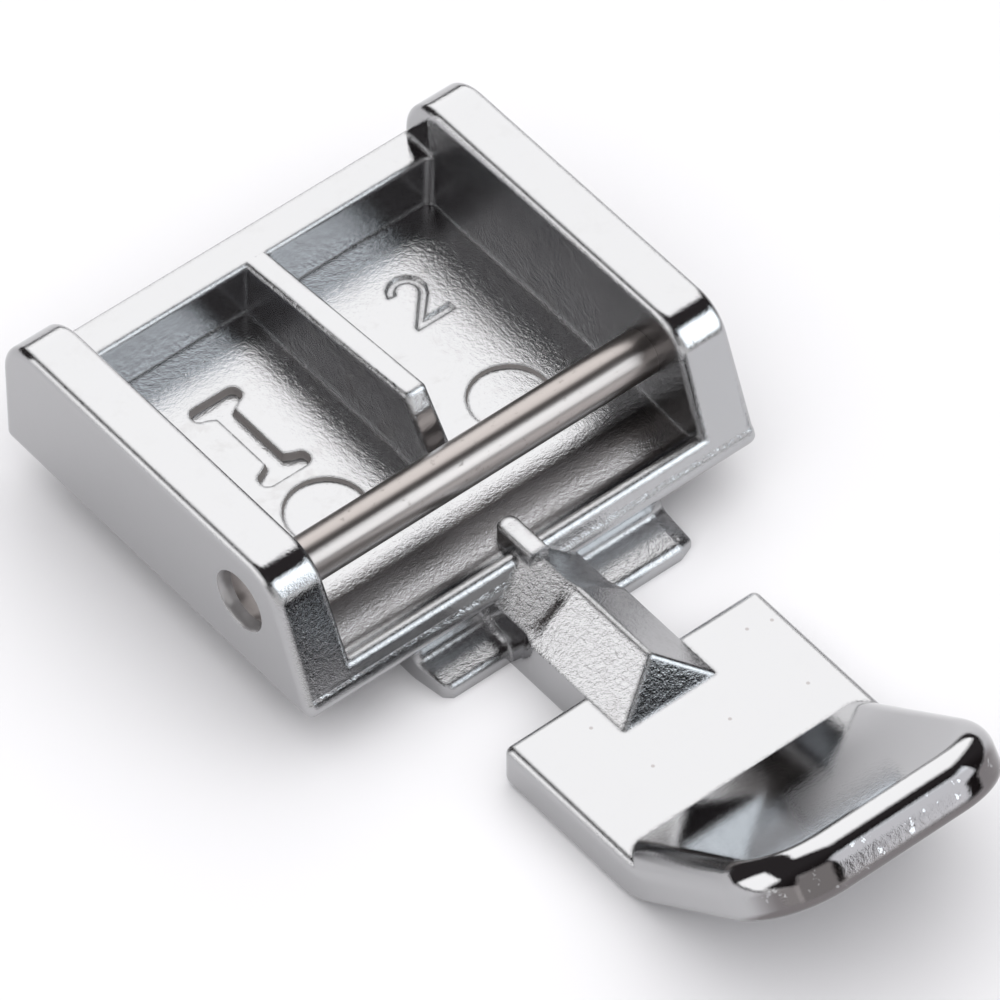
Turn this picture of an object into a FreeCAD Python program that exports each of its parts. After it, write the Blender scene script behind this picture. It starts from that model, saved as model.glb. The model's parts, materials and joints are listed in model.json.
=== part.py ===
# Clip-on double zipper foot: one plated zinc casting and the steel bar pressed through it.
# X runs across the foot, -Y points to the toe, Z is up from the sole; the origin lies on the
# sole, on the middle plane of the holder block, straight under the axis of the snap bar.
import FreeCAD, Part
import math
import os
import Sketcher

SIZES = [
    ("block_width", 23.2, "holder block, outer face to outer face"),
    ("cheek_thick", 2.42, "side cheek at its top"),
    ("cheek_top", 8.33, "top of the cheeks above the sole"),
    ("block_back", 15.3, "rear face of the block behind the snap bar axis"),
    ("block_under", 2.05, "underside of the block above the sole"),
    ("front_foot", 4.5, "front face of the block at its underside, ahead of the bar axis"),
    ("front_lean", 22.3, "front face leans back from upright, degrees"),
    ("front_round", 2.0, "front top corner of a cheek seen from the side"),
    ("back_round", 2.1, "rear top corner of a cheek seen from the side"),
    ("under_round", 0.4, "lower outer edges of the block"),
    ("ledge_height", 2.95, "small ledge across the front face, above the sole"),
    ("ledge_step", 0.12, "ledge stands out from the face above it by"),
    ("cheek_round", 0.36, "edges along the top of the cheeks"),
    ("bar_top", 5.89, "top of the back bar above the sole"),
    ("bar_thick", 1.8, "back bar from front to rear"),
    ("bar_round", 0.22, "edges of the back bar"),
    ("floor_top", 3.2, "floor of the bays above the sole"),
    ("cheek_draft", 1.5, "draft of the inner faces of the cheeks, degrees"),
    ("bay_round", 0.35, "rear upright corners of the bays"),
    ("ramp_start", 0.7, "floor starts to rise this far ahead of the bar axis"),
    ("lip_top", 3.58, "front lip of the floor above the sole"),
    ("lip_round", 0.38, "edge of the front lip"),
    ("divider_mid", 0.1, "middle of the divider from the middle plane"),
    ("divider_foot", 1.34, "divider thickness at the floor"),
    ("divider_crest", 1.12, "divider thickness at the top"),
    ("divider_front", 6.78, "divider height at its front end"),
    ("divider_nose", 1.12, "divider front face at the floor behind the bar axis"),
    ("divider_lean", 32.5, "divider front face leans back, degrees"),
    ("divider_round", 0.26, "edges of the divider"),
    ("sink", 0.4, "depth a rib is let into what carries it"),
    ("bar_height", 5.58, "snap bar axis above the sole"),
    ("pin_width", 2.06, "snap bar diameter"),
    ("head_width", 2.46, "flared left end of the snap bar, diameter"),
    ("head_long", 0.5, "length of the flare"),
    ("head_deep", 0.55, "flared end below the cheek face"),
    ("mouth_width", 2.84, "mouth of the bore in the left cheek, diameter"),
    ("mouth_deep", 0.14, "depth of the rounded mouth"),
    ("blind_wall", 0.75, "wall left outside the bore in the right cheek"),
    ("pin_bevel", 0.12, "bevel on the right end of the snap bar"),
    ("pin_gap", 0.1, "room between that end and the bottom of its bore"),
    ("mark_width", 3.56, "ejector mark on a bay floor, diameter"),
    ("mark_deep", 0.18, "ejector mark depth"),
    ("mark_slope", 0.06, "ejector mark, width of its sloped rim"),
    ("mark_side", 4.75, "ejector mark from the middle plane"),
    ("mark_back", 3.1, "ejector mark behind the bar axis"),
    ("sole_left", 5.85, "lower body, left end from the middle plane"),
    ("sole_right", 7.08, "lower body, right end from the middle plane"),
    ("sole_rear", 12.4, "lower body, rear end behind the bar axis"),
    ("sole_rise", 0.9, "rear end of the sole turned up by"),
    ("wing_front", 5.86, "front edge of the wings ahead of the bar axis"),
    ("wing_edge", 0.67, "wing thickness at its front edge"),
    ("wing_crest", 2.75, "top of the lower body inside the block"),
    ("wing_root_run", 3.93, "root of the wings ahead of the bar axis"),
    ("wing_root", 1.02, "height of the wings at their root"),
    ("wing_sweep", 0.3, "concave sweep between wing and block"),
    ("wing_round", 0.45, "upper front edge of the right wing"),
    ("wing_skew", 0.24, "left wing shorter than the right one by"),
    ("wing_end", 0.55, "rounding of the outer ends of the wings seen from above"),
    ("crown_run", 0.75, "right end of the wing falls over this length"),
    ("crown_drop", 0.3, "right end of the wing falls by"),
    ("neck_width", 4.78, "neck, side to side"),
    ("shoulder_width", 4.24, "eaves of the rear part of the ridge, side to side"),
    ("plate_top", 2.2, "top of the toe plate above the sole"),
    ("plate_width", 13.04, "toe plate, side to side"),
    ("plate_back", 10.15, "rear edge of the toe plate ahead of the bar axis"),
    ("crease", 17.16, "crease across the toe plate ahead of the bar axis"),
    ("toe_thick", 2.35, "thickness of the upturned toe"),
    ("toe_rise", 36.8, "upturned toe, degrees from level"),
    ("toe_long", 10.55, "upturned top face from the crease to the tip"),
    ("toe_round", 1.15, "rim of the upturned toe"),
    ("toe_corner", 3.5, "front corners of the toe seen from above"),
    ("toe_bend", 3.0, "round of the sole under the crease"),
    ("plate_corner", 0.35, "rear corners of the toe plate"),
    ("plate_round", 0.4, "upper edges of the toe plate"),
    ("plate_under", 0.5, "lower edges of the toe plate"),
    ("ridge_top", 4.1, "crest of the neck ridge above the sole"),
    ("ridge_front", 11.4, "front end of the crest ahead of the bar axis"),
    ("ridge_foot", 12.65, "front end of the ridge at the plate"),
    ("shoulder_top", 3.84, "crest of the rear part of the ridge"),
    ("shoulder_eave", 2.25, "height of these eaves"),
    ("shoulder_end", 7.0, "start of the higher part of the ridge"),
    ("shoulder_step", 0.75, "climb from the lower to the higher part, along the crest"),
    ("ridge_round", 0.22, "edges of the ridge"),
    ("neck_cove", 0.4, "hollow corners between the neck and the wings"),
    ("nub_width", 1.0, "rib behind the ridge, side to side"),
    ("nub_mid", 0.0, "middle of that rib from the middle plane"),
    ("nub_back", 2.15, "rear end of that rib ahead of the bar axis"),
    ("nub_round", 0.2, "upper edges of that rib"),
    ("one_deep", 0.38, "numeral 1, depth"),
    ("one_slope", 12, "numeral 1, walls off upright, degrees"),
    ("one_side", -4.65, "numeral 1, middle from the middle plane"),
    ("one_back", 8.12, "numeral 1, middle behind the bar axis"),
    ("one_high", 5.26, "numeral 1, height"),
    ("one_wide", 2.5, "numeral 1, width over the serifs"),
    ("one_stem", 0.9, "numeral 1, stem"),
    ("one_serif", 0.8, "numeral 1, serif height"),
    ("two_deep", 0.13, "numeral 2, depth"),
    ("two_slope", 42, "numeral 2, walls off upright, degrees"),
    ("two_side", 5.15, "numeral 2, middle from the middle plane"),
    ("two_back", 9.65, "numeral 2, middle behind the bar axis"),
    ("two_high", 2.9, "numeral 2, height"),
    ("two_wide", 2.0, "numeral 2, width at its foot"),
    ("two_bowl", 0.92, "numeral 2, outer radius of the bowl"),
    ("two_stroke", 0.46, "numeral 2, stroke"),
]

doc = FreeCAD.newDocument("zipper_foot")
sheet = doc.addObject("Spreadsheet::Sheet", "sizes")
for row, (alias, value, meaning) in enumerate(SIZES, 1):
    sheet.set("A%d" % row, meaning)
    sheet.set("B%d" % row, str(value))
    sheet.setAlias("B%d" % row, alias)
doc.recompute()

PLANES = {"across": "XY_Plane", "side": "YZ_Plane", "front": "XZ_Plane"}


def size(alias):
    return float(getattr(sheet, alias))


def new_body(label):
    body = doc.addObject("PartDesign::Body", label)
    body.Label = label
    return body


def blank_sketch(body, name, plane, offset="0", lift="0"):
    sketch = body.newObject("Sketcher::SketchObject", name)
    support = [f for f in body.Origin.OriginFeatures if f.Role == PLANES[plane]][0]
    sketch.AttachmentSupport = (support, [""])
    sketch.MapMode = "FlatFace"
    sketch.setExpression("AttachmentOffset.Base.z", offset)
    sketch.setExpression("AttachmentOffset.Base.y", lift)
    return sketch


# One closed outline; each corner is held by two distances bound to the sheet.
def add_outline(sketch, corners):
    start = sketch.GeometryCount
    count = len(corners)
    turn = 2 * math.pi / count
    spots = [FreeCAD.Vector(9 * math.cos(turn * i), 9 * math.sin(turn * i), 0) for i in range(count)]
    for i in range(count):
        sketch.addGeometry(Part.LineSegment(spots[i], spots[(i + 1) % count]), False)
    for i in range(count):
        follow = start + (i + 1) % count
        sketch.addConstraint(Sketcher.Constraint("Coincident", start + i, 2, follow, 1))
    for i, (first, second) in enumerate(corners):
        for kind, now, formula in (("DistanceX", spots[i].x, first), ("DistanceY", spots[i].y, second)):
            spot = sketch.addConstraint(Sketcher.Constraint(kind, -1, 1, start + i, 1, now))
            sketch.setExpression("Constraints[%d]" % spot, formula)


def outline(body, name, plane, corners, offset="0", lift="0"):
    sketch = blank_sketch(body, name, plane, offset, lift)
    add_outline(sketch, corners)
    return sketch


def circle(body, name, plane, middle, radius, offset="0"):
    sketch = blank_sketch(body, name, plane, offset)
    sketch.addGeometry(Part.Circle(FreeCAD.Vector(1, 1, 0), FreeCAD.Vector(0, 0, 1), 2), False)
    held = (("DistanceX", (-1, 1, 0, 3, 1.0), middle[0]), ("DistanceY", (-1, 1, 0, 3, 1.0), middle[1]),
            ("Radius", (0, 2.0), radius))
    for kind, what, formula in held:
        spot = sketch.addConstraint(Sketcher.Constraint(kind, *what))
        sketch.setExpression("Constraints[%d]" % spot, formula)
    return sketch


# A pad, pocket, groove or loft; text settings are formulas, the others are set as they are.
def feature(body, kind, name, sketch, **settings):
    made = body.newObject("PartDesign::" + kind, name)
    made.Profile = sketch
    sketch.Visibility = False
    for setting, value in settings.items():
        if isinstance(value, str) and setting != "Type":
            made.setExpression(setting, value)
        else:
            setattr(made, setting, value)
    doc.recompute()
    return made


def middle_of(edge):
    return edge.valueAt((edge.FirstParameter + edge.LastParameter) / 2)


def along(edge, axis):
    ends = edge.Vertexes[0].Point - edge.Vertexes[-1].Point
    return abs(abs(ends.dot(axis)) - ends.Length) < 1e-4 and ends.Length > 1e-3


# Rounds every edge of the base for which wanted(edge, its middle) holds.
def rounded(body, name, base, radius, wanted):
    picked = ["Edge%d" % (i + 1) for i, e in enumerate(base.Shape.Edges) if wanted(e, middle_of(e))]
    made = body.newObject("PartDesign::Fillet", name)
    made.Base = (base, picked)
    made.setExpression("Radius", radius)
    doc.recompute()
    return made


def near(a, b, slack=0.02):
    return abs(a - b) < slack


X, Y, Z = FreeCAD.Vector(1, 0, 0), FreeCAD.Vector(0, 1, 0), FreeCAD.Vector(0, 0, 1)
HALF = size("block_width") / 2
INNER = HALF - size("cheek_thick")
LEAN = math.tan(math.radians(size("front_lean")))

# The casting: the block with the outline of its cheeks.
foot = new_body("foot_casting")
front_at_top = "-sizes.front_foot + (sizes.cheek_top - sizes.block_under) * tan(sizes.front_lean)"
block = feature(foot, "Pad", "block", outline(foot, "block_side", "side", [
    ("sizes.block_back", "sizes.block_under"),
    ("sizes.block_back", "sizes.cheek_top"),
    (front_at_top, "sizes.cheek_top"),
    ("-sizes.front_foot + (sizes.ledge_height - sizes.block_under) * tan(sizes.front_lean)",
     "sizes.ledge_height"),
    ("-sizes.front_foot + (sizes.ledge_height - sizes.block_under) * tan(sizes.front_lean)"
     " - sizes.ledge_step", "sizes.ledge_height - sizes.ledge_step"),
    ("-sizes.front_foot - sizes.ledge_step * (1 - tan(sizes.front_lean))", "sizes.block_under"),
]), Length="sizes.block_width", Midplane=True)
top_front_y = -size("front_foot") + (size("cheek_top") - size("block_under")) * LEAN
tip = rounded(foot, "front_corner", block, "sizes.front_round",
              lambda e, m: along(e, X) and near(m.z, size("cheek_top")) and near(m.y, top_front_y))
tip = rounded(foot, "back_corner", tip, "sizes.back_round",
              lambda e, m: along(e, X) and near(m.z, size("cheek_top")) and near(m.y, size("block_back")))
under = size("block_under")
tip = rounded(foot, "under_edges", tip, "sizes.under_round",
              lambda e, m: near(m.z, under) and all(near(v.Z, under) for v in e.Vertexes))
tip = rounded(foot, "outer_edges", tip, "sizes.cheek_round",
              lambda e, m: near(abs(m.x), HALF, 0.001) and m.z > under + size("under_round") + 0.01)

# Room between the cheeks above the back bar, then the bays in front of it; both keep to the
# drafted inner faces of the cheeks.
cheek_face = "sizes.block_width / 2"


def inner_face(height):
    return "(%s - sizes.cheek_thick - (sizes.cheek_top - %s) * tan(sizes.cheek_draft))" % (cheek_face, height)


def room(name, floor, ceiling, front, **settings):
    sketch = outline(foot, name + "_front", "front", [
        ("-" + inner_face(floor), floor),
        (inner_face(floor), floor),
        (inner_face(ceiling), ceiling),
        ("-" + inner_face(ceiling), ceiling),
    ], offset=front)
    return feature(foot, "Pocket", name, sketch, **settings)


tip = room("between_cheeks", "sizes.bar_top", "(sizes.cheek_top + sizes.sink)", "0",
           Length="3 * sizes.block_back", Midplane=True)
tip = room("bays", "sizes.floor_top", "(sizes.bar_top + sizes.sink)",
           "sizes.bar_thick - sizes.block_back", Length="2 * sizes.block_back", Reversed=True)

bar_front = size("block_back") - size("bar_thick")
tip = rounded(foot, "bay_corners", tip, "sizes.bay_round",
              lambda e, m: near(m.y, bar_front) and not along(e, X) and abs(m.x) > INNER - 0.3
              and m.z < size("bar_top"))

# Seats of the snap bar: a bore with a flare in the left cheek, a blind bore in the right one.
bore = "sizes.pin_width / 2"
left_seat = outline(foot, "left_seat", "front", [
    ("-%s - sizes.sink" % cheek_face, "0"),
    ("-%s - sizes.sink" % cheek_face, "sizes.mouth_width / 2"),
    ("-%s" % cheek_face, "sizes.mouth_width / 2"),
    ("-%s + sizes.mouth_deep" % cheek_face, "(sizes.mouth_width + sizes.head_width) / 4"),
    ("-%s + sizes.head_deep" % cheek_face, "sizes.head_width / 2"),
    ("-%s + sizes.head_deep + sizes.head_long" % cheek_face, bore),
    ("-%s + sizes.cheek_thick + sizes.sink" % cheek_face, bore),
    ("-%s + sizes.cheek_thick + sizes.sink" % cheek_face, "0"),
], lift="sizes.bar_height")
right_seat = outline(foot, "right_seat", "front", [
    ("%s - sizes.cheek_thick - sizes.sink" % cheek_face, "0"),
    ("%s - sizes.cheek_thick - sizes.sink" % cheek_face, bore),
    ("%s - sizes.blind_wall" % cheek_face, bore),
    ("%s - sizes.blind_wall" % cheek_face, "0"),
], lift="sizes.bar_height")
for name, seat in (("left_bore", left_seat), ("right_bore", right_seat)):
    tip = feature(foot, "Groove", name, seat, ReferenceAxis=(seat, ["H_Axis"]), Angle=360)

# Rounded inner edges of the cheeks and edges of the back bar.
FLOOR = size("floor_top")
tip = rounded(foot, "inner_edges", tip, "sizes.cheek_round",
              lambda e, m: INNER - 0.25 < abs(m.x) < INNER + 0.001
              and math.hypot(m.y, m.z - size("bar_height")) > size("pin_width")
              and (m.z > size("bar_top") + 0.01 or (m.y < -2 and m.z > FLOOR + 0.05)))
tip = rounded(foot, "bar_edges", tip, "sizes.bar_round",
              lambda e, m: along(e, X) and near(m.z, size("bar_top"))
              and (near(m.y, bar_front) or near(m.y, size("block_back"))))

# Shallow marks on the bay floors: ejector discs and the numerals 1 and 2.
for name, side in (("left", "-sizes.mark_side"), ("right", "sizes.mark_side")):
    disc = circle(foot, name + "_disc", "across", (side, "sizes.mark_back"), "sizes.mark_width / 2",
                  "sizes.floor_top")
    tip = feature(foot, "Pocket", name + "_mark", disc, Length="sizes.mark_deep",
                  TaperAngle="-atan(sizes.mark_slope / sizes.mark_deep)")

# Points round one serif end of the 1: outward from its stem, inward from its end, in serif heights.
quarter = [("sizes.one_stem / 2", "sizes.one_high / 2 - 1.35 * sizes.one_serif")]
rounding = ((0.5, 1.06), (0.22, 0.98), (0.05, 0.78), (0, 0.5), (0.07, 0.22), (0.28, 0.04), (0.5, 0))
for inward, below in rounding:
    quarter.append(("sizes.one_wide / 2 - %s * sizes.one_serif" % inward,
                    "sizes.one_high / 2 - %s * sizes.one_serif" % below))
one = [("sizes.one_side + " + x, "sizes.one_back + " + y) for x, y in quarter]
one += [("sizes.one_side - (%s)" % x, "sizes.one_back + " + y) for x, y in reversed(quarter)]
one += [("sizes.one_side - (%s)" % x, "sizes.one_back - (%s)" % y) for x, y in quarter]
one += [("sizes.one_side + " + x, "sizes.one_back - (%s)" % y) for x, y in reversed(quarter)]
one_plan = outline(foot, "one_plan", "across", one, offset="sizes.floor_top")
tip = feature(foot, "Pocket", "one", one_plan, Length="sizes.one_deep", TaperAngle="-sizes.one_slope")

bowl_side = "sizes.two_side"
bowl_back = "sizes.two_back + sizes.two_high / 2 - sizes.two_bowl"
two = []
for turn in (170, 140, 110, 80, 50, 20, -10, -40):
    two.append(("%s + (sizes.two_bowl) * cos(%d)" % (bowl_side, turn),
                "%s + (sizes.two_bowl) * sin(%d)" % (bowl_back, turn)))
two += [
    ("sizes.two_side - sizes.two_wide / 2 + 1.7 * sizes.two_stroke",
     "sizes.two_back - sizes.two_high / 2 + sizes.two_stroke"),
    ("sizes.two_side + sizes.two_wide / 2", "sizes.two_back - sizes.two_high / 2 + sizes.two_stroke"),
    ("sizes.two_side + sizes.two_wide / 2", "sizes.two_back - sizes.two_high / 2"),
    ("sizes.two_side - sizes.two_wide / 2", "sizes.two_back - sizes.two_high / 2"),
    ("sizes.two_side - sizes.two_wide / 2", "sizes.two_back - sizes.two_high / 2 + 0.5 * sizes.two_stroke"),
]
for turn in (-40, -10, 20, 50, 80, 110, 140, 170):
    two.append(("%s + (sizes.two_bowl - sizes.two_stroke) * cos(%d)" % (bowl_side, turn),
                "%s + (sizes.two_bowl - sizes.two_stroke) * sin(%d)" % (bowl_back, turn)))
two_plan = outline(foot, "two_plan", "across", two, offset="sizes.floor_top")
tip = feature(foot, "Pocket", "two", two_plan, Length="sizes.two_deep", TaperAngle="-sizes.two_slope")


# The floor rises in one hollow curve to the rounded front lip; the curve is a chain of short
# flats that leaves the level floor at ramp_start.
rise = new_body("rise_shape")
lip_run = "(sizes.front_foot - (sizes.lip_top - sizes.block_under) * tan(sizes.front_lean))"
ramp_chord = "atan((sizes.lip_top - sizes.floor_top) / (%s - sizes.ramp_start))" % lip_run
RAMP_STEPS = 8
ramp = []
for i in range(RAMP_STEPS + 1):
    part = "%d / %d" % (i, RAMP_STEPS)
    ramp.append((
        "-sizes.ramp_start - (%s - sizes.ramp_start) * sin(2 * %s * %s) / sin(2 * %s)"
        % (lip_run, ramp_chord, part, ramp_chord),
        "sizes.floor_top + (sizes.lip_top - sizes.floor_top)"
        " * (1 - cos(2 * %s * %s)) / (1 - cos(2 * %s))" % (ramp_chord, part, ramp_chord)))
ramp += [
    ("-sizes.front_foot + (sizes.floor_top - sizes.sink - sizes.block_under) * tan(sizes.front_lean)",
     "sizes.floor_top - sizes.sink"),
    ("-sizes.ramp_start", "sizes.floor_top - sizes.sink"),
]
hill = feature(rise, "Pad", "ramp", outline(rise, "ramp_side", "side", ramp),
               Length="sizes.block_width - 2 * sizes.cheek_thick + 2 * sizes.sink", Midplane=True)
rounded(rise, "lip_edge", hill, "sizes.lip_round",
        lambda e, m: along(e, X) and near(m.z, size("lip_top")))

# The divider narrows upward, leans back at the front and climbs a little toward the front.
divider = new_body("divider_shape")
divider_rise = "sizes.divider_front + sizes.sink"


def divider_plan(name, half, front, offset):
    return outline(divider, name, "across", [
        ("sizes.divider_mid - " + half, front),
        ("sizes.divider_mid + " + half, front),
        ("sizes.divider_mid + " + half, "sizes.block_back - sizes.bar_thick / 2"),
        ("sizes.divider_mid - " + half, "sizes.block_back - sizes.bar_thick / 2"),
    ], offset=offset)


foot_front = "sizes.divider_nose - sizes.sink * tan(sizes.divider_lean)"
crest_front = "sizes.divider_nose + (%s - sizes.floor_top) * tan(sizes.divider_lean)" % divider_rise
low = divider_plan("divider_low", "sizes.divider_foot / 2", foot_front, "sizes.floor_top - sizes.sink")
high = divider_plan("divider_high", "sizes.divider_crest / 2", crest_front, divider_rise)
feature(divider, "AdditiveLoft", "divider_wall", low, Sections=[high], Ruled=True)
climb = ("(sizes.bar_top - sizes.divider_front) / (sizes.block_back - sizes.bar_thick - sizes.divider_nose"
         " - (sizes.divider_front - sizes.floor_top) * tan(sizes.divider_lean))")
crest = feature(divider, "Pocket", "divider_crest", outline(divider, "crest_side", "side", [
    ("sizes.block_back", "sizes.bar_top + %s * (sizes.bar_thick)" % climb),
    ("sizes.block_back", "sizes.cheek_top"),
    ("0", "sizes.cheek_top"),
    ("0", "sizes.bar_top - %s * (sizes.block_back - sizes.bar_thick)" % climb),
]), Length="2 * sizes.divider_foot", Midplane=True)
rounded(divider, "divider_edges", crest, "sizes.divider_round",
        lambda e, m: m.z > size("floor_top") - size("sink") + 0.05 and m.y < bar_front + 0.5)

# The lower body under the block: the sole, ending in the two wings beside the neck.
def wing(name, front, end, way):
    body = new_body(name)
    made = feature(body, "Pad", name + "_half", outline(body, name + "_side", "side", [
        ("-" + front, "0"),
        ("-" + front, "sizes.wing_edge"),
        ("-sizes.wing_root_run", "sizes.wing_root"),
        ("-sizes.wing_root_run", "sizes.wing_crest"),
        ("sizes.sole_rear", "sizes.wing_crest"),
        ("sizes.sole_rear", "sizes.sole_rise"),
        ("sizes.sole_rear - 2.5 * sizes.sole_rise", "0"),
    ]), Length=end, Reversed=way)
    return body, rounded(body, name + "_cove", made, "sizes.wing_sweep",
                         lambda e, m: along(e, X) and near(m.z, size("wing_root")) and m.y < 0)


def corner_cut(body, name, corners):
    return feature(body, "Pocket", name, outline(body, name + "_plan", "across", corners),
                   Length="2 * sizes.wing_crest", Midplane=True)


def top_end(edge, middle, end):
    return near(middle.x, end) and middle.y < -size("wing_root_run") - 0.35 and middle.z > size("wing_edge")


right_wing, sole = wing("right_wing", "sizes.wing_front", "sizes.sole_right", False)
sole = rounded(right_wing, "right_lip", sole, "sizes.wing_round",
               lambda e, m: along(e, X) and near(m.y, -size("wing_front")) and near(m.z, size("wing_edge")))
crown = right_wing.newObject("PartDesign::Chamfer", "right_crown")
crown.Base = (sole, ["Edge%d" % (i + 1) for i, e in enumerate(sole.Shape.Edges)
                     if top_end(e, middle_of(e), size("sole_right"))])
crown.ChamferType = "Two distances"
crown.setExpression("Size", "sizes.crown_run")
crown.setExpression("Size2", "sizes.crown_drop")
doc.recompute()
sole = corner_cut(right_wing, "right_corner", [
    ("sizes.sole_right + sizes.sink", "-sizes.wing_front - sizes.sink"),
    ("sizes.sole_right + sizes.sink", "-sizes.wing_front + 0.25 * sizes.wing_end"),
    ("sizes.sole_right", "-sizes.wing_front + 0.25 * sizes.wing_end"),
    ("sizes.sole_right - 0.3 * sizes.wing_end", "-sizes.wing_front"),
    ("sizes.sole_right - 0.3 * sizes.wing_end", "-sizes.wing_front - sizes.sink"),
])

left_front = "(sizes.wing_front - sizes.wing_skew)"
left_wing, sole = wing("left_wing", left_front, "sizes.sole_left", True)
sole = rounded(left_wing, "left_lip", sole, "0.7 * sizes.wing_round",
               lambda e, m: along(e, X) and near(m.y, size("wing_skew") - size("wing_front"))
               and near(m.z, size("wing_edge")))
sole = rounded(left_wing, "left_end", sole, "sizes.crown_drop",
               lambda e, m: top_end(e, m, -size("sole_left")))
sole = corner_cut(left_wing, "left_corner", [
    ("-sizes.sole_left - sizes.sink", "-%s - sizes.sink" % left_front),
    ("-sizes.sole_left - sizes.sink", "-%s + 1.8" % left_front),
    ("-sizes.sole_left", "-%s + 1.8" % left_front),
    ("-sizes.sole_left + 0.4 * sizes.wing_end", "-%s + 0.3" % left_front),
    ("-sizes.sole_left + sizes.wing_end", "-" + left_front),
    ("-sizes.sole_left + sizes.wing_end", "-%s - sizes.sink" % left_front),
])

# Toe plate and upturned toe; the toe ends square to its top face.
toe = new_body("toe_shape")
tip_top = ("sizes.crease + sizes.toe_long * cos(sizes.toe_rise)",
           "sizes.plate_top + sizes.toe_long * sin(sizes.toe_rise)")
slab = feature(toe, "Pad", "toe_slab", outline(toe, "toe_side", "side", [
    ("-sizes.plate_back", "0"),
    ("-sizes.plate_back", "sizes.plate_top"),
    ("-sizes.crease", "sizes.plate_top"),
    ("-(%s)" % tip_top[0], tip_top[1]),
    ("-(%s + sizes.toe_thick * sin(sizes.toe_rise))" % tip_top[0],
     "%s - sizes.toe_thick * cos(sizes.toe_rise)" % tip_top[1]),
    ("-sizes.crease - (sizes.toe_thick / cos(sizes.toe_rise) - sizes.plate_top) / tan(sizes.toe_rise)", "0"),
]), Length="sizes.plate_width", Midplane=True)
PLATE = size("plate_top")
CREASE = size("crease")
RISE = math.radians(size("toe_rise"))
THROUGH_TOE = FreeCAD.Vector(0, math.sin(RISE), math.cos(RISE))
slab = rounded(toe, "sole_bend", slab, "sizes.toe_bend",
               lambda e, m: along(e, X) and near(m.z, 0) and m.y < -CREASE)
slab = rounded(toe, "toe_corners", slab, "sizes.toe_corner",
               lambda e, m: along(e, THROUGH_TOE))
slab = rounded(toe, "plate_corners", slab, "sizes.plate_corner",
               lambda e, m: along(e, Z) and near(m.y, -size("plate_back")))
slab = rounded(toe, "toe_rim", slab, "sizes.toe_round",
               lambda e, m: along(e, X) and near(m.z, PLATE + size("toe_long") * math.sin(RISE)))
slab = rounded(toe, "plate_edges", slab, "sizes.plate_round",
               lambda e, m: near(m.z, PLATE) and m.y > -CREASE + 0.1)
slab = rounded(toe, "toe_under", slab, "sizes.plate_under",
               lambda e, m: near(m.z, 0) and near(m.y, -size("plate_back")))


# The neck and its ridge: a low gable against the block that climbs into a higher one.
neck = new_body("neck_shape")


def gable(name, half, eave, crest, ahead):
    return outline(neck, name, "front", [
        ("-sizes.neck_width / 2", "0"),
        ("sizes.neck_width / 2", "0"),
        (half, eave),
        ("0", crest),
        ("-" + half, eave),
    ], offset=ahead)


low_eave, low_crest = "sizes.shoulder_eave", "sizes.shoulder_top"
high_eave, high_crest = "sizes.plate_top + 0.02", "sizes.ridge_top"
low_half, high_half = "sizes.shoulder_width / 2", "sizes.neck_width / 2"
rear = gable("rear_gable", low_half, low_eave, low_crest, "sizes.wing_root_run - sizes.sink")
hull = feature(neck, "AdditiveLoft", "neck", rear, Ruled=True, Sections=[
    gable("step_gable", low_half, low_eave, low_crest, "sizes.shoulder_end - sizes.shoulder_step"),
    gable("ridge_gable", high_half, high_eave, high_crest, "sizes.shoulder_end"),
    gable("front_gable", high_half, high_eave, high_crest, "sizes.ridge_foot + sizes.sink"),
])
hull = feature(neck, "Pocket", "ridge_slope", outline(neck, "slope_side", "side", [
    ("-sizes.ridge_foot", "sizes.plate_top"),
    ("-sizes.ridge_front", "sizes.ridge_top"),
    ("-sizes.ridge_front", "sizes.ridge_top + sizes.sink"),
    ("-sizes.ridge_foot - 4 * sizes.sink", "sizes.ridge_top + sizes.sink"),
    ("-sizes.ridge_foot - 4 * sizes.sink", "sizes.plate_top"),
]), Length="2 * sizes.neck_width", Midplane=True)
hull = rounded(neck, "ridge_edges", hull, "sizes.ridge_round",
               lambda e, m: (near(m.x, 0) and m.z > PLATE + 0.5 and m.y < -size("shoulder_end")
                             and m.y > -size("ridge_front") + 0.1)
               or (m.y < -size("ridge_front") - 0.1 and abs(m.x) > 0.3 and m.z > PLATE + 0.3))

# Hollow corners between the neck and the tops of the wings, each a chain of short flats.
coves = []
for side, sign, front in (("right", "", "sizes.wing_front"), ("left", "-", left_front)):
    hollow = new_body(side + "_cove_shape")
    wall = "(sizes.neck_width + sizes.shoulder_width) / 4"

    def cove_plan(name, ahead):
        base = ("sizes.wing_edge + (sizes.wing_root - sizes.wing_edge) * (%s - %s)"
                " / (%s - sizes.wing_root_run)" % (front, ahead, front))
        corners = [(sign + "(%s - sizes.sink)" % wall, "%s - sizes.sink" % base),
                   (sign + "(%s - sizes.sink)" % wall, "%s + sizes.neck_cove" % base)]
        for turn in (0, 18, 36, 54, 72, 90):
            corners.append((sign + "(%s + sizes.neck_cove * (1 - cos(%d)))" % (wall, turn),
                            "%s + sizes.neck_cove * (1 - sin(%d))" % (base, turn)))
        corners.append((sign + "(%s + sizes.neck_cove)" % wall, "%s - sizes.sink" % base))
        return outline(hollow, name, "front", corners, offset=ahead)

    rear_cove = cove_plan(side + "_cove_rear", "(sizes.wing_root_run - sizes.sink)")
    fore_cove = cove_plan(side + "_cove_fore", "(%s - sizes.wing_round)" % front)
    feature(hollow, "AdditiveLoft", side + "_cove", rear_cove, Sections=[fore_cove], Ruled=True)
    coves.append(hollow)

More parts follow.
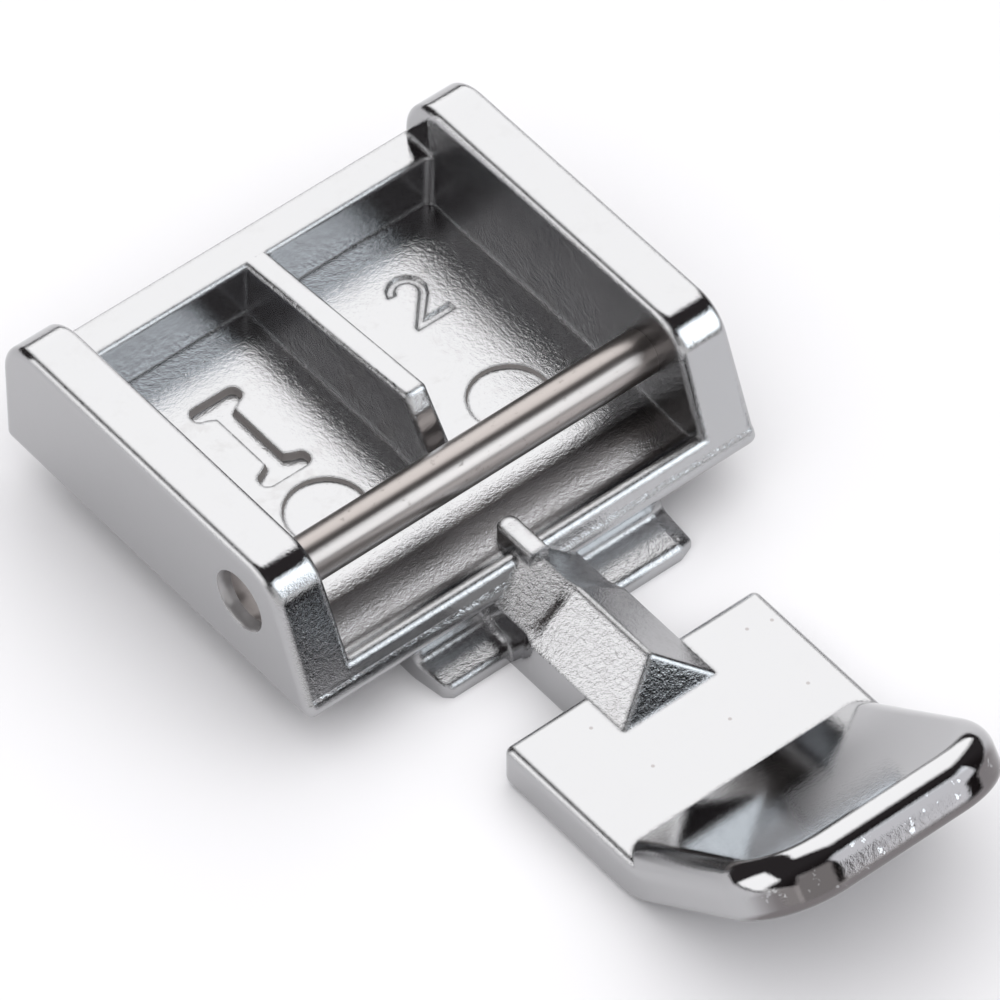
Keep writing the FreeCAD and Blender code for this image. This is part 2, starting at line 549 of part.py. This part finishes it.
# Small round-ended rib behind the ridge.
rib = new_body("rib_shape")
bump = feature(rib, "Pad", "nub", outline(rib, "nub_plan", "across", [
    ("sizes.nub_mid - sizes.nub_width / 2", "-sizes.nub_back"),
    ("sizes.nub_mid - sizes.nub_width / 2", "-sizes.front_foot"),
    ("sizes.nub_mid + sizes.nub_width / 2", "-sizes.front_foot"),
    ("sizes.nub_mid + sizes.nub_width / 2", "-sizes.nub_back"),
], offset="sizes.floor_top - sizes.sink"), Length="sizes.ridge_top - sizes.floor_top + sizes.sink")
bump = rounded(rib, "nub_end", bump, "0.98 * sizes.nub_width / 2",
               lambda e, m: along(e, Z) and near(m.y, -size("nub_back")))
bump = rounded(rib, "nub_edges", bump, "sizes.nub_round",
               lambda e, m: near(m.z, size("ridge_top")) and m.y > -size("front_foot") + 0.1)


# Everything above is cast in one piece.
joined = foot.newObject("PartDesign::Boolean", "cast_in_one")
joined.setObjects([rise, divider, right_wing, left_wing, toe, neck, rib] + coves)
joined.Type = "Fuse"
doc.recompute()


# The snap bar: a plain round steel pin, its left end flared into the seat.
bar = new_body("snap_bar")
pin_side = outline(bar, "bar_half", "front", [
    ("-%s + sizes.head_deep" % cheek_face, "0"),
    ("-%s + sizes.head_deep" % cheek_face, "sizes.head_width / 2"),
    ("-%s + sizes.head_deep + sizes.head_long" % cheek_face, bore),
    ("%s - sizes.blind_wall - sizes.pin_gap - sizes.pin_bevel" % cheek_face, bore),
    ("%s - sizes.blind_wall - sizes.pin_gap" % cheek_face, "%s - sizes.pin_bevel" % bore),
    ("%s - sizes.blind_wall - sizes.pin_gap" % cheek_face, "0"),
], lift="sizes.bar_height")
feature(bar, "Revolution", "bar", pin_side, ReferenceAxis=(pin_side, ["H_Axis"]), Angle=360)

os.makedirs("parts", exist_ok=True)
for body in (foot, bar):
    for made in body.Group:
        if "Invalid" in made.State or "Error" in made.State:
            raise RuntimeError("%s: %s did not build" % (body.Label, made.Name))
    if body.Shape.isNull() or not body.Shape.isValid() or len(body.Shape.Solids) != 1:
        raise RuntimeError("%s is not one sound solid" % body.Label)
    body.Shape.exportStep("parts/%s.step" % body.Label)
    box = body.Shape.BoundBox
    print(body.Label, round(body.Shape.Volume, 2), [round(v, 2) for v in (
        box.XMin, box.XMax, box.YMin, box.YMax, box.ZMin, box.ZMax)])
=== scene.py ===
import json
import math

import bmesh
import bpy
import numpy as np
from mathutils import Matrix, Vector

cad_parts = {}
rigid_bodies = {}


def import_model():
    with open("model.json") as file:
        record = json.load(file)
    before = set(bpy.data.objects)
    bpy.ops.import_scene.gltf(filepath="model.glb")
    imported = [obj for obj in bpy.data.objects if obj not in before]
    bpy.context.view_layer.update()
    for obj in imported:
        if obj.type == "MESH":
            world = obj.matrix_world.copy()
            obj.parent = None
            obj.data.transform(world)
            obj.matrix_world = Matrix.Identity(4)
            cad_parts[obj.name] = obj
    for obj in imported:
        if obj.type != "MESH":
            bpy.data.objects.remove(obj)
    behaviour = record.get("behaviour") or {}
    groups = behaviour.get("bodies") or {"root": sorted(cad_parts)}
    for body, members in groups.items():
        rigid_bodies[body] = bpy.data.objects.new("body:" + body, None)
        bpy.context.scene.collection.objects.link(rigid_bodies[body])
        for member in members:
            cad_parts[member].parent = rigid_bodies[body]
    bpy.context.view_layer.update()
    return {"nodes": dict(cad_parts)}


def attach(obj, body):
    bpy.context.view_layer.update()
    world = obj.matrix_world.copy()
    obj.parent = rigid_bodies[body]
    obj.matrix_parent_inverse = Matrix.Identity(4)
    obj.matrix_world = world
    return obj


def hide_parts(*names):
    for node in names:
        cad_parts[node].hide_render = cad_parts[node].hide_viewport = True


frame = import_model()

scene = bpy.context.scene
mm = 0.001
touching = 2e-8  # corners of the loose triangles that are this close are one corner
tiny = 1e-20  # stands in for a length of nothing where something is divided by it


def report(stage):
    print("scene:", stage)


class Signal:
    # One number or colour flowing through a node tree.
    def __init__(self, finish, socket):
        self.finish = finish
        self.socket = socket

    def maths(self, operation, other):
        return self.finish.node("ShaderNodeMath", {"operation": operation}, {0: self, 1: other})

    def __add__(self, other):
        return self.maths("ADD", other)

    def __sub__(self, other):
        return self.maths("SUBTRACT", other)

    def __rsub__(self, other):
        return self.finish.node("ShaderNodeMath", {"operation": "SUBTRACT"}, {0: other, 1: self})

    def __mul__(self, other):
        return self.maths("MULTIPLY", other)

    __radd__ = __add__
    __rmul__ = __mul__

    def atMost(self, other):
        return self.maths("MINIMUM", other)

    # 0 below low, 1 above high, smooth between; low may be the larger one.
    def fade(self, low, high):
        if low > high:
            return 1 - self.fade(high, low)
        return self.finish.node("ShaderNodeMapRange", {"interpolation_type": "SMOOTHSTEP"},
                                {"Value": self, "From Min": low, "From Max": high})


class Finish:
    # A material whose nodes are added one by one; `shader` is its Principled node.
    def __init__(self, name, **fixed):
        self.material = bpy.data.materials.new(name)
        self.material.use_nodes = True
        self.tree = self.material.node_tree
        self.shader = self.tree.nodes["Principled BSDF"]
        for socket, value in fixed.items():
            self.shader.inputs[socket].default_value = value

    def node(self, kind, settings=None, sockets=None, output=0):
        made = self.tree.nodes.new(kind)
        for setting, value in (settings or {}).items():
            setattr(made, setting, value)
        for socket, value in (sockets or {}).items():
            if isinstance(value, Signal):
                self.tree.links.new(value.socket, made.inputs[socket])
            else:
                made.inputs[socket].default_value = value
        return Signal(self, made.outputs[output])

    def feed(self, socket, signal):
        self.tree.links.new(signal.socket, self.shader.inputs[socket])

    # Places on the piece, in metres; a stretch below 1 draws a pattern out along that axis.
    def place(self, stretch=(1, 1, 1)):
        raw = self.node("ShaderNodeTexCoord", output=3)
        return self.node("ShaderNodeMapping", {}, {"Vector": raw, "Scale": stretch})

    def painted(self, name):
        return self.node("ShaderNodeAttribute", {"attribute_name": name}, output=2)

    def noise(self, where, scale, detail, rough):
        return self.node("ShaderNodeTexNoise", {"noise_dimensions": "3D"},
                         {"Vector": where, "Scale": scale, "Detail": detail, "Roughness": rough})

    # 1 inside the core of a round spot, 0 from its radius outward.
    def spot(self, where, middle, radius, core):
        far = self.node("ShaderNodeVectorMath", {"operation": "DISTANCE"}, {0: where, 1: middle}, output=1)
        return far.fade(radius, core)

    # How alike two directions are: 1 for the same way, 0 at a right angle.
    def alike(self, one, two):
        return self.node("ShaderNodeVectorMath", {"operation": "DOT_PRODUCT"}, {0: one, 1: two}, output=1)

    def blend(self, share, first, second):
        made = self.tree.nodes.new("ShaderNodeMix")
        made.data_type = "RGBA"
        for socket, value in ((0, share), (6, first), (7, second)):
            if isinstance(value, Signal):
                self.tree.links.new(value.socket, made.inputs[socket])
            else:
                made.inputs[socket].default_value = value if socket == 0 else (*value, 1)
        return Signal(self, made.outputs[2])

    def bump(self, height, distance, under=None):
        sockets = {"Height": height, "Distance": distance}
        if under:
            sockets["Normal"] = under
        return self.node("ShaderNodeBump", {}, sockets)


def newPiece(name, mesh, finish):
    piece = bpy.data.objects.new(name, mesh)
    scene.collection.objects.link(piece)
    mesh.materials.clear()
    mesh.materials.append(finish.material)
    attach(piece, "root")
    return piece


def mergedCopy(node, name):
    mesh = frame["nodes"][node].data.copy()
    mesh.name = name
    if mesh.has_custom_normals:
        mesh.attributes.remove(mesh.attributes["custom_normal"])
    work = bmesh.new()
    work.from_mesh(mesh)
    bmesh.ops.remove_doubles(work, verts=work.verts, dist=touching)
    work.to_mesh(mesh)
    work.free()
    return mesh


# Groups whose members are joined pair by pair; top() names the group of a member.
class Groups:
    def __init__(self, members):
        self.parent = {member: member for member in members}

    def top(self, member):
        while self.parent[member] != member:
            self.parent[member] = self.parent[self.parent[member]]
            member = self.parent[member]
        return member

    def join(self, one, two):
        self.parent[self.top(one)] = self.top(two)


# Centre, unit normal and area of each triangle, with the triangles' corners.
def facetData(mesh):
    corners = np.empty(len(mesh.loops), np.int64)
    mesh.loops.foreach_get("vertex_index", corners)
    facets = corners.reshape(-1, 3)
    points = np.empty(len(mesh.vertices) * 3)
    mesh.vertices.foreach_get("co", points)
    points = points.reshape(-1, 3)
    a, b, c = (points[facets[:, k]] for k in range(3))
    cross = np.cross(b - a, c - a)
    length = np.maximum(np.linalg.norm(cross, axis=1), tiny)
    return facets, points, (a + b + c) / 3, cross / length[:, None], length / 2


# Smooth shading that leaves every flat face truly flat: a vertex on a flat face takes that
# face's normal, and the rounds beside it run out into it.
def shadeTrue(mesh):
    facets, points, _, normal, area = facetData(mesh)
    angles = np.empty((len(facets), 3))
    for k in range(3):
        here = points[facets[:, k]]
        ahead, behind = points[facets[:, (k + 1) % 3]] - here, points[facets[:, (k + 2) % 3]] - here
        length = np.maximum(np.linalg.norm(ahead, axis=1) * np.linalg.norm(behind, axis=1), tiny)
        angles[:, k] = np.arccos(np.clip((ahead * behind).sum(1) / length, -1, 1))
    beside = {}
    for face, (a, b, c) in enumerate(facets.tolist()):
        for pair in ((a, b), (b, c), (c, a)):
            beside.setdefault((min(pair), max(pair)), []).append(face)
    flat, sharp = Groups(range(len(facets))), set()
    flatCos, sharpCos = math.cos(casting["flatAngle"]), math.cos(casting["sharpAngle"])
    for edge, faces in beside.items():
        agree = float(normal[faces[0]] @ normal[faces[1]]) if len(faces) == 2 else -1
        if agree > flatCos:
            flat.join(*faces)
        elif agree < sharpCos:
            sharp.add(edge)
    region = [flat.top(face) for face in range(len(facets))]
    whole = {}
    for face, name in enumerate(region):
        whole[name] = whole.get(name, 0) + area[face]
    weight = np.array([whole[name] for name in region])
    weight = np.where(weight > casting["flatArea"], 1 + weight * casting["flatPull"], 1.0)
    around = [[] for _ in points]
    for face, threesome in enumerate(facets.tolist()):
        for k, vertex in enumerate(threesome):
            around[vertex].append((face, k))
    shaded = np.zeros((len(facets) * 3, 3))
    for vertex, fan in enumerate(around):
        side = Groups([face for face, _ in fan])
        for face, k in fan:
            for other in (facets[face, (k + 1) % 3], facets[face, (k + 2) % 3]):
                edge = (min(vertex, int(other)), max(vertex, int(other)))
                if edge not in sharp:
                    side.join(*beside[edge])
        sums = {}
        for face, k in fan:
            share = normal[face] * weight[face] * angles[face, k]
            sums[side.top(face)] = sums.get(side.top(face), 0) + share
        for face, k in fan:
            total = sums[side.top(face)]
            shaded[face * 3 + k] = total / max(np.linalg.norm(total), tiny)
    mesh.polygons.foreach_set("use_smooth", [True] * len(mesh.polygons))
    mesh.normals_split_custom_set([tuple(direction) for direction in shaded])


# A closed round solid about a line along X, from (x, radius) pairs.
def turned(name, profile, height, around):
    work = bmesh.new()
    rings = []
    for x, radius in profile:
        if radius == 0:
            rings.append([work.verts.new((x, 0, height))])
            continue
        ring = []
        for i in range(around):
            turn = 2 * math.pi * i / around
            ring.append(work.verts.new((x, radius * math.sin(turn), height + radius * math.cos(turn))))
        rings.append(ring)
    for near, far in zip(rings, rings[1:]):
        for i in range(around):
            j = (i + 1) % around
            if len(near) == 1:
                work.faces.new((near[0], far[j], far[i]))
            elif len(far) == 1:
                work.faces.new((near[i], near[j], far[0]))
            else:
                work.faces.new((near[i], near[j], far[j], far[i]))
    bmesh.ops.recalc_face_normals(work, faces=work.faces)
    mesh = bpy.data.meshes.new(name)
    work.to_mesh(mesh)
    work.free()
    return mesh


# An object's place and turn from where its own x, y and z axes point.
def standing(right, up, back, place):
    matrix = Matrix((right, up, back)).transposed().to_4x4()
    matrix.translation = place
    return matrix


# Where the camera stands: angles in degrees, its focal length in picture pixels, and how far the
# origin lies right of and above the middle of what it sees.
view = {"azimuth": -39.389, "elevation": 49.277, "roll": -0.046, "pixels": 10550.96,
        "distance": 424.608 * mm, "right": -1.306 * mm, "up": -2.043 * mm, "frame": 1000, "sensor": 36.0,
        "nearest": 0.01, "farthest": 20}


def makeCamera():
    az, el, roll = (math.radians(view[key]) for key in ("azimuth", "elevation", "roll"))
    ahead = Vector((-math.sin(az) * math.cos(el), math.cos(az) * math.cos(el), -math.sin(el)))
    right = Vector((math.cos(az), math.sin(az), 0))
    up = right.cross(ahead)
    right, up = right * math.cos(roll) + up * math.sin(roll), up * math.cos(roll) - right * math.sin(roll)
    data = bpy.data.cameras.new("photo_camera")
    data.sensor_width = view["sensor"]
    data.lens = view["pixels"] / view["frame"] * view["sensor"]
    data.clip_start, data.clip_end = view["nearest"], view["farthest"]
    camera = bpy.data.objects.new("photo_camera", data)
    scene.collection.objects.link(camera)
    place = -view["right"] * right - view["up"] * up - view["distance"] * ahead
    camera.matrix_world = standing(right, up, -ahead, place)
    scene.camera = camera


# Each panel: azimuth from +Y towards +X and elevation of its middle line, its left, right, lower
# and upper edge as shares of the distance from that line, and its radiance.
studio = {"floorRadius": 3.0, "floorSides": 96, "floorColour": (0.87, 0.865, 0.885),
          "floorRoughness": 0.6, "cloud": (6, 3, 0.5), "cloudShade": 0.985,
          "seenWorld": (0.95, 0.95, 0.95), "darkRoom": (0.045, 0.040, 0.042), "panelDistance": 1.3,
          "panels": {"back_right": (38, 38, -0.45, 0.40, -0.55, 0.60, 1.93),
                     "left_side": (-70, 22, -0.58, 0.38, -0.30, 0.42, 1.93),
                     "front": (145, 30, -0.42, 0.18, -0.36, 0.36, 2.9),
                     "front_dim": (190, 22, -0.42, 0.50, -0.42, 0.48, 0.80),
                     "corner_dim": (236, 4, -0.40, 0.42, -0.30, 0.16, 1.05),
                     "gap_dim": (161, 4, -0.12, 0.12, -0.30, 0.16, 1.2)},
          "tints": {"front": (0.93, 1.0, 1.05)},
          "washHeight": 1.6, "washSide": 5.0, "washRadiance": 1.46}


def areaLight(name, width, height, radiance):
    data = bpy.data.lights.new(name, "AREA")
    data.shape = "RECTANGLE"
    data.size, data.size_y = width, height
    data.energy = radiance * math.pi * width * height
    light = bpy.data.objects.new(name, data)
    scene.collection.objects.link(light)
    light.visible_camera = False
    return light


def makeStudio():
    mesh = bpy.data.meshes.new("floor")
    work = bmesh.new()
    bmesh.ops.create_circle(work, cap_ends=True, segments=studio["floorSides"],
                            radius=studio["floorRadius"])
    bmesh.ops.recalc_face_normals(work, faces=work.faces)
    work.to_mesh(mesh)
    work.free()
    floor = bpy.data.objects.new("floor", mesh)
    scene.collection.objects.link(floor)
    paper = Finish("pale_floor", **{"Roughness": studio["floorRoughness"]})
    cloud = paper.noise(paper.place(), *studio["cloud"])
    low = tuple(part * studio["cloudShade"] for part in studio["floorColour"])
    paper.feed("Base Color", paper.blend(cloud, low, studio["floorColour"]))
    mesh.materials.append(paper.material)
    far = studio["panelDistance"]
    for name, (azimuth, elevation, left, right, lower, upper, radiance) in studio["panels"].items():
        az, el = math.radians(azimuth), math.radians(elevation)
        out = Vector((math.sin(az) * math.cos(el), math.cos(az) * math.cos(el), math.sin(el)))
        across = Vector((math.cos(az), -math.sin(az), 0))
        up = Vector((-math.sin(az) * math.sin(el), -math.cos(az) * math.sin(el), math.cos(el)))
        middle = far * (out + across * (left + right) / 2 + up * (lower + upper) / 2)
        light = areaLight(name, far * (right - left), far * (upper - lower), radiance)
        light.data.color = studio["tints"].get(name, (1, 1, 1))
        light.matrix_world = standing(-across, up, out, middle)
        light.visible_diffuse = False
    # The panels show in the plating only; this one lights the floor and doesn't show in it.
    wash = areaLight("floor_wash", studio["washSide"], studio["washSide"], studio["washRadiance"])
    wash.location.z = studio["washHeight"]
    wash.visible_glossy = False
    world = bpy.data.worlds.new("studio")
    scene.world = world
    world.use_nodes = True
    nodes, links = world.node_tree.nodes, world.node_tree.links
    seen = nodes.new("ShaderNodeLightPath")
    swap = nodes.new("ShaderNodeMix")
    swap.data_type = "RGBA"
    swap.inputs[6].default_value = (*studio["darkRoom"], 1)
    swap.inputs[7].default_value = (*studio["seenWorld"], 1)
    links.new(seen.outputs["Is Camera Ray"], swap.inputs[0])
    links.new(swap.outputs[2], nodes["Background"].inputs["Color"])
    scene.view_settings.view_transform = "Standard"
    scene.view_settings.look = "None"


# Each noise is its scale, detail and roughness. A height is how deep a pattern goes where the cast
# skin counts 1; the shares after it say how much of it is there on other faces and on edges.
# The bare colour is that of bare metal in pits and of the dulled seat, and it is also painted shade on the
# walls of the sunk marks.
casting = {"colour": (0.445, 0.445, 0.452), "stain": (0.33, 0.315, 0.31), "bareAndShade": (0.30, 0.28, 0.275),
           # The rim's colour is painted shade on the toe rim.
           "rimShade": (0.183, 0.17, 0.171), "stainShare": 0.3,
           "roughness": 0.025, "skinRough": 0.07, "patchRough": 0.06, "darkRough": 0.5,
           "sharpAngle": math.radians(28), "flatAngle": math.radians(0.15),
           "flatArea": 0.12 * mm ** 2, "flatPull": 4e9,
           "edge": 0.24 * mm, "edgeSamples": 4, "edgeBend": (0.004, 0.08), "plainSkin": 0.15,
           "ripple": (4600, 2, 0.5), "rippleHeight": 0.02 * mm, "rippleSkin": 0.7, "rippleAll": 0.1,
           "nick": (3600, 3, 0.6), "nickHeight": 0.2 * mm, "nickSkin": 8,
           "pebble": (9000, 3, 0.6), "pebbleHeight": 0.0105 * mm, "pebbleEdge": 0.6,
           "grain": (19000, 2, 0.5), "grainHeight": 0.009 * mm, "grainAll": 0.12,
           "patch": (700, 4, 0.65), "patchFade": (0.52, 0.7),
           # This noise breaks the toe rim's painted shade into specks.
           "rimShadeGaps": (1400, 3, 0.7), "rimShadeGapsFade": (0.6, 0.66), "rimShadeGapsShare": 0.8,
           "plateTop": 2.2 * mm, "pitRadius": 0.11 * mm, "pitCore": 0.0495 * mm, "pitShare": 0.8,
           "pits": ((4.80, -11.67), (5.87, -11.94), (4.86, -15.33), (-3.24, -11.65), (-2.60, -14.68),
                    (1.29, -14.77))}

# How coarse the cast skin is under the plating, by place: lowest and highest corner in mm of the
# facets' centres, the way they face, how closely (-2 takes any way), and the coarseness. Later
# rows win.
skins = (
    ((-12, -4, 6.5), (12, 15.6, 9), (0, 0, 1), 0.7, 0.22),        # cheek tops
    ((-12, 13, 5), (12, 15.6, 6.2), (0, 0, 1), 0.7, 0.25),        # back bar
    ((-12, -7, -1), (-11.3, 16, 9), (-1, 0, 0), 0.7, 0.10),       # left outer face
    ((-9.4, -3.9, 2.6), (9.4, 13.7, 4.0), (0, 0, 1), 0.6, 0.70),  # bay floors
    ((-9.4, 12.9, 3.0), (9.4, 13.7, 6.0), (0, -1, 0), 0.7, 0.30),  # back walls of the bays
    ((-9.4, -3.9, 3.0), (-0.4, 13.7, 8.5), (-1, 0, 0), 0.7, 1.10),  # divider, left wall
    ((7, -3.9, 3.0), (9.6, 13.7, 8.5), (-1, 0, 0), 0.7, 1.10),    # right cheek, inner wall
    ((-12, -7, -1), (12, -3.6, 6), (0, -1, 0.3), 0.5, 0.40),      # front of the block
    ((-12, -7, 1.5), (-9.2, -2.0, 8), (0, -1, 0.3), 0.6, 0.55),   # front of the left cheek
    ((-6.6, -6.4, 0.4), (7.2, -3.9, 1.6), (0, 0, 1), 0.6, 0.75),  # wings
    ((-0.6, -4.6, 3.4), (0.6, -2.6, 4.6), (0, 0, 1), -2, 0.80),   # rib behind the ridge
    ((-3, -6.4, 1.2), (3, -4.0, 5), (0, 0, 1), 0.25, 1.10),       # ridge, rear part
    ((-3, -12.7, 2.1), (3, -6.4, 5), (0, 0, 1), 0.25, 0.60),      # ridge, front part
    ((-3, -15.5, 2.1), (3, -12.6, 5), (0, -1, 1), 0.7, 0.22),     # ridge, cut-off end
    ((-7, -17.2, 2.1), (7, -10.1, 2.3), (0, 0, 1), 0.9, 0.06),    # toe plate
    ((-12, -28, -1), (12, -17.1, 9), (0, 0, 1), -2, 0.02),        # toe
)

# Sunk marks whose walls are painted a dull dark non-metal, painted shade in these recesses: the numerals
# and the two discs.
marks = {"low": (-9.2, 0.5, 2.6), "high": (9.2, 13.4, 3.19), "steepest": 0.5}

# The seat that the bar's end was flared into, dulled by that blow.
seat = {"low": (-11.59, -1.6, 4.0), "high": (-10.9, 1.6, 7.2), "dull": 0.4}

# The rim of the toe, whose faces that look forward and down are painted darker: painted shade, broken into
# specks.
rim = {"behind": -17.3, "forward": (0.30, 0.55), "up": (-0.45, -0.25)}


def paintSkin(mesh):
    _, _, centre, normal, _ = facetData(mesh)
    centre = centre / mm
    skin = np.full(len(centre), casting["plainSkin"])
    for low, high, facing, agree, value in skins:
        facing = np.array(facing) / np.linalg.norm(facing)
        inside = ((centre >= low) & (centre <= high)).all(1) & (normal @ facing > agree)
        skin[inside] = value
    # The walls of the sunk marks take painted shade.
    dark = np.zeros(len(centre))
    inside = ((centre >= marks["low"]) & (centre <= marks["high"])).all(1)
    dark[inside & (np.abs(normal[:, 2]) < marks["steepest"])] = 1
    inside = ((centre >= seat["low"]) & (centre <= seat["high"])).all(1)
    dark[inside] = seat["dull"]
    skin[inside] = 0
    # The toe rim's faces that look forward and down take a share of painted shade.
    facing = np.array([vertex.normal for vertex in mesh.vertices])
    ahead = np.array([vertex.co.y for vertex in mesh.vertices]) < rim["behind"] * mm
    rimShading = ahead * np.interp(-facing[:, 1], rim["forward"], (0, 1))
    rimShading = rimShading * np.interp(facing[:, 2], rim["up"], (0, 1))
    for name, domain, values in (("skin", "FACE", skin), ("dark", "FACE", dark), ("rimShading", "POINT", rimShading)):
        layer = mesh.attributes.new(name, "FLOAT", domain)
        layer.data.foreach_set("value", values)


def platedCasting():
    finish = Finish("plated_casting")
    where = finish.place()
    skin, dark, rimShading = finish.painted("skin"), finish.painted("dark"), finish.painted("rimShading")
    patterns = ("ripple", "nick", "pebble", "grain", "patch", "rimShadeGaps")
    ripple, nick, pebble, grain, patch, rimShadeGaps = (finish.noise(where, *casting[name]) for name in patterns)
    patch = patch.fade(*casting["patchFade"])
    # The normal of a rounded edge leans away from the face's own, which shows where edges are.
    edge = finish.node("ShaderNodeBevel", {"samples": casting["edgeSamples"]}, {"Radius": casting["edge"]})
    face = finish.node("ShaderNodeNewGeometry", output=3)
    onEdge = (1 - finish.alike(edge, face)).fade(*casting["edgeBend"])
    rippled = (ripple - 0.5) * (skin * casting["rippleSkin"] + casting["rippleAll"])
    normal = finish.bump(rippled, casting["rippleHeight"], edge)
    nicked = (nick - 0.5) * onEdge * (skin * casting["nickSkin"]).atMost(1)
    normal = finish.bump(nicked, casting["nickHeight"], normal)
    pebbled = (pebble - 0.5) * (skin + onEdge * casting["pebbleEdge"])
    normal = finish.bump(pebbled, casting["pebbleHeight"], normal)
    grained = (grain - 0.5) * (skin + casting["grainAll"])
    finish.feed("Normal", finish.bump(grained, casting["grainHeight"], normal))
    colour = finish.blend(patch * skin * casting["stainShare"], casting["colour"], casting["stain"])
    for x, y in casting["pits"]:
        middle = (x * mm, y * mm, casting["plateTop"])
        pit = finish.spot(where, middle, casting["pitRadius"], casting["pitCore"])
        colour = finish.blend(pit * casting["pitShare"], colour, casting["bareAndShade"])
    # Painted shade on the toe rim, left out in specks.
    unshaded = rimShadeGaps.fade(*casting["rimShadeGapsFade"]) * casting["rimShadeGapsShare"]
    colour = finish.blend(rimShading * (1 - unshaded), colour, casting["rimShade"])
    # Dark paints shade on the walls of the sunk marks, and dulls the seat.
    finish.feed("Base Color", finish.blend(dark, colour, casting["bareAndShade"]))
    finish.feed("Metallic", 1 - dark)
    rough = casting["roughness"] + skin * casting["skinRough"] + patch * skin * casting["patchRough"]
    finish.feed("Roughness", rough + dark * casting["darkRough"])
    return finish


# The floor ahead of the bar, in mm: it dips a little and then rises steeply to the lip.
rise = {"floor": 3.2, "start": -0.7, "end": -3.45, "side": 9.4, "low": 3.15, "high": 3.62,
        "margin": 0.4, "upward": 0.9, "strips": 22, "cutNear": 1e-8, "endNear": 1e-7, "dip": 0.2,
        "power": 9}


def hollowRise(mesh):
    work = bmesh.new()
    work.from_mesh(mesh)
    start, end = rise["start"] * mm, rise["end"] * mm

    def risingFaces():
        found = []
        for face in work.faces:
            middle = face.calc_center_median() / mm
            if (face.normal.z > rise["upward"] and abs(middle.x) < rise["side"]
                    and rise["end"] - rise["margin"] < middle.y < rise["start"] + rise["margin"]
                    and rise["low"] < middle.z < rise["high"]):
                found.append(face)
        return found

    for strip in range(rise["strips"] + 1):
        cut = start + (end - start) * strip / rise["strips"]
        faces = risingFaces()
        edges = dict.fromkeys(edge for face in faces for edge in face.edges)
        corners = dict.fromkeys(corner for face in faces for corner in face.verts)
        bmesh.ops.bisect_plane(work, geom=[*faces, *edges, *corners], dist=rise["cutNear"],
                               plane_co=(0, cut, 0), plane_no=(0, 1, 0))
    rising = dict.fromkeys(corner for face in risingFaces() for corner in face.verts)
    level, dip = rise["floor"] * mm, rise["dip"] * mm
    top = max(corner.co.z for corner in rising if abs(corner.co.y - end) < rise["endNear"])
    for corner in rising:
        if end < corner.co.y < start:
            share = (corner.co.y - start) / (end - start)
            corner.co.z = level - dip * share + (top - level + dip) * share ** rise["power"]
    bmesh.ops.triangulate(work, faces=[face for face in work.faces if len(face.verts) > 3])
    work.to_mesh(mesh)
    work.free()


def makeCasting():
    mesh = mergedCopy("foot_casting", "casting_shown")
    hollowRise(mesh)
    shadeTrue(mesh)
    paintSkin(mesh)
    piece = newPiece("casting_shown", mesh, platedCasting())
    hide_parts("foot_casting")


snapBar = {"left": -11.05 * mm, "flare": 0.5 * mm, "right": 10.75 * mm, "radius": 1.03 * mm,
           "headRadius": 1.23 * mm, "height": 5.58 * mm, "bevel": 0.12 * mm, "around": 96,
           "sharpAngle": math.radians(25),
           "colour": (0.37, 0.338, 0.323), "spotColour": (0.33, 0.30, 0.285),
           "drawnOut": (0.03, 1, 1), "lines": (5200, 3, 0.6), "broad": (1500, 2, 0.5),
           "lineShare": 0.5, "lineHeight": 0.004 * mm, "spots": (2600, 3, 0.6), "spotFade": (0.62, 0.72),
           "roughness": 0.24, "lineRough": 0.12, "spotRough": 0.15}


def drawnSteel():
    finish = Finish("bar_steel", **{"Metallic": 1.0})
    lengthwise = finish.place(stretch=snapBar["drawnOut"])
    lines = finish.noise(lengthwise, *snapBar["lines"])
    broad = finish.noise(lengthwise, *snapBar["broad"])
    spots = finish.noise(finish.place(), *snapBar["spots"]).fade(*snapBar["spotFade"])
    finish.feed("Normal", finish.bump(lines * snapBar["lineShare"] + broad, snapBar["lineHeight"]))
    finish.feed("Base Color", finish.blend(spots, snapBar["colour"], snapBar["spotColour"]))
    rough = snapBar["roughness"] + lines * snapBar["lineRough"]
    finish.feed("Roughness", rough + spots * snapBar["spotRough"])
    return finish


def makeBar():
    r, left, right = snapBar["radius"], snapBar["left"], snapBar["right"]
    profile = [(left, 0), (left, snapBar["headRadius"]), (left + snapBar["flare"], r),
               (right - snapBar["bevel"], r), (right, r - snapBar["bevel"]), (right, 0)]
    mesh = turned("bar_shown", profile, snapBar["height"], snapBar["around"])
    mesh.shade_smooth()
    mesh.set_sharp_from_angle(angle=snapBar["sharpAngle"])
    piece = newPiece("bar_shown", mesh, drawnSteel())
    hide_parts("snap_bar")


makeCamera()
report("camera")
makeStudio()
report("floor and light")
makeCasting()
report("casting")
makeBar()
report("snap bar")
